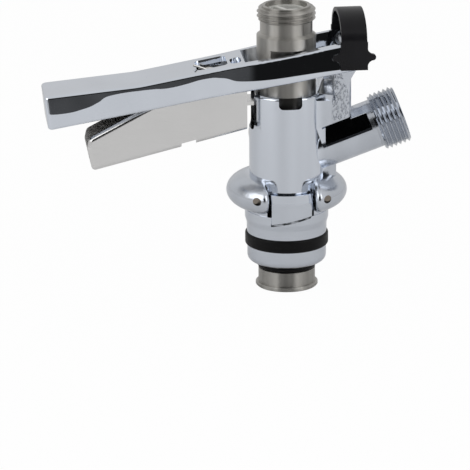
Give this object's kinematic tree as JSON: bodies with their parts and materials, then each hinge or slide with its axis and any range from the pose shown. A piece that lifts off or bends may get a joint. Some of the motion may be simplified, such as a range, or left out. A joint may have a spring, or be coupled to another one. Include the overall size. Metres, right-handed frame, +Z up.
{
  "type": "keg coupler",
  "caption": "Lever-operated keg coupler: chrome body with halo ring and side gas inlet, sliding steel probe, squeeze-trigger lever, relief valve with pull ring and sealed keg spigot.",
  "frame": {"origin": "on the barrel's axis, at the joint plane of the body casting and the keg spigot", "axes": "+Z up along the barrel, +X towards the gas inlet (the lever points to -X), +Y towards the relief valve"},
  "size_m": [0.1429, 0.0662, 0.1125],
  "materials": {
    "cast_chrome": "polished",
    "turned_chrome": "polished",
    "lever_chrome": "polished",
    "turned_steel": "brushed",
    "sheet_steel": "brushed",
    "spring_steel": "drawn wire",
    "pin_steel": "ground",
    "seal_rubber": "satin",
    "clip_plastic": "fine moulded",
    "inner_plastic": "moulded"
  },
  "bodies": {
    "root": {"body_casting": "cast_chrome", "keg_spigot": "turned_chrome", "spigot_pins": "pin_steel", "bottom_seal": "seal_rubber", "hinge_pin": "pin_steel", "hinge_clip": "clip_plastic", "gas_check_valve": "seal_rubber", "gas_valve_cage": "inner_plastic", "prv_cap": "turned_chrome", "prv_spring": "spring_steel"},
    "lever": {"lever_handle": "lever_chrome", "trigger_pin": "pin_steel", "trigger_spring": "spring_steel"},
    "trigger": {"trigger": "sheet_steel"},
    "probe": {"probe": "turned_steel", "probe_tip_oring": "seal_rubber", "probe_upper_oring": "seal_rubber", "probe_lower_oring": "seal_rubber", "ball_cage": "inner_plastic"},
    "check_ball": {"beer_check_ball": "inner_plastic"},
    "relief_stem": {"prv_stem": "turned_steel", "prv_seal": "seal_rubber"},
    "pull_ring": {"pull_ring": "spring_steel"}
  },
  "joints": [
    {"name": "lever_lift", "type": "hinge", "parent": "root", "child": "lever", "pos_m": [0.0245, 0, 0.0628], "axis": [0, 1, 0], "range_deg": [0, 19]},
    {"name": "probe_slide", "type": "slide", "parent": "root", "child": "probe", "axis": [0, 0, 1], "range_m": [0, 0.0082]},
    {"name": "trigger_squeeze", "type": "hinge", "parent": "lever", "child": "trigger", "pos_m": [-0.0297, 0, 0.053], "axis": [0, 1, 0], "range_deg": [0, 12], "stiffness_Nm_per_rad": 0.35, "springref_deg": -8.59, "deforming": ["trigger_spring"]},
    {"name": "ball_lift", "type": "slide", "parent": "probe", "child": "check_ball", "axis": [0, 0, 1], "range_m": [0, 0.00275]},
    {"name": "relief_pull", "type": "slide", "parent": "root", "child": "relief_stem", "axis": [0, 1, 0], "range_m": [0, 0.003], "stiffness_N_per_m": 1500, "springref_m": -0.004, "deforming": ["prv_spring"]},
    {"name": "ring_swing", "type": "hinge", "parent": "relief_stem", "child": "pull_ring", "pos_m": [0, 0.0428, 0.028], "axis": [1, 0, 0], "range_deg": [-12, 192]}
  ],
  "couplings": [
    {"joint": "probe_slide", "follows": "lever_lift", "m_per_rad": 0.02445}
  ]
}
